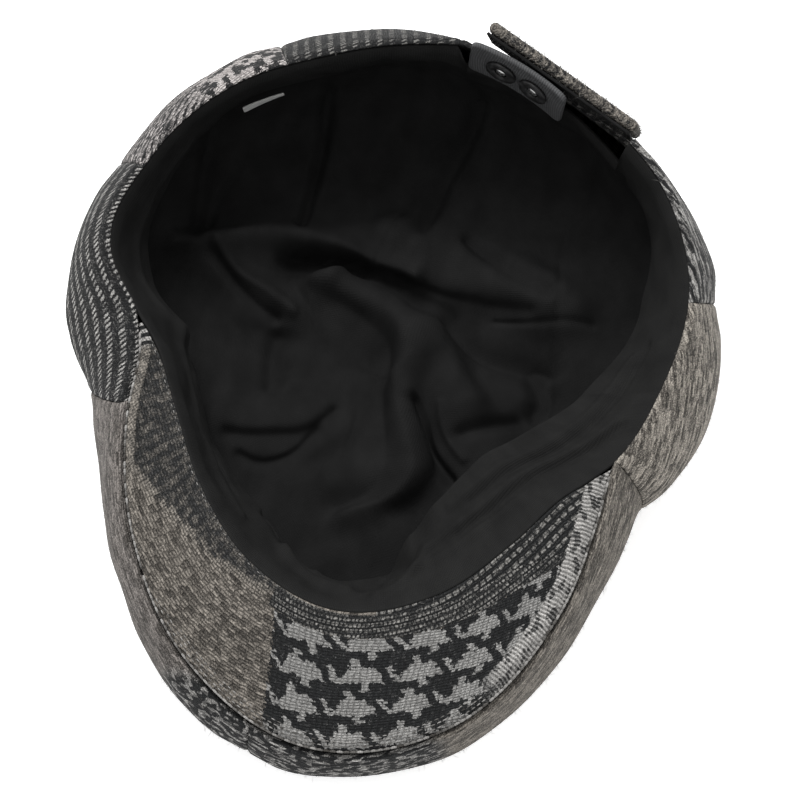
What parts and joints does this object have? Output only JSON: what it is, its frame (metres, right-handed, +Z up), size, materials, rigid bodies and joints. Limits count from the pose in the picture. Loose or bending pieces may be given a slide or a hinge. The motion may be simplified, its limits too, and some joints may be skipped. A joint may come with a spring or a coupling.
{
  "type": "flat cap",
  "caption": "Soft patchwork tweed flat cap with a stiff peak, black lining and a snap strap at the back, lying on its crown with the head opening up.",
  "frame": {"origin": "on the surface that the cap lies on, under the middle of its box", "axes": "+Z up, out of the head opening; the peak points to -Y and the adjusting strap is at +Y; +X is to the right of someone who stands at the peak and looks at the strap"},
  "size_m": [0.2222, 0.254, 0.0868],
  "materials": {
    "tweed": "matt woven wool patchwork",
    "peak_cloth": "matt woven wool with houndstooth",
    "strap_cloth": "matt woven wool",
    "black_cotton": "matt plain weave",
    "band_cloth": "matt twill",
    "facing_cloth": "matt plain weave",
    "tab_cloth": "matt twill",
    "black_enamel": "gloss black enamel",
    "bright_steel": "bright",
    "grey_tape": "matt woven tape"
  },
  "bodies": {
    "root": {"crown": "tweed", "lining": "black_cotton", "sweatband": "band_cloth", "peak": "peak_cloth", "back_strap": "strap_cloth", "strap_facing": "facing_cloth", "snap_tab": "tab_cloth", "snap_ring_left": "black_enamel", "snap_ring_right": "black_enamel", "snap_centre_left": "bright_steel", "snap_centre_right": "bright_steel", "label_tab": "grey_tape"}
  },
  "joints": []
}
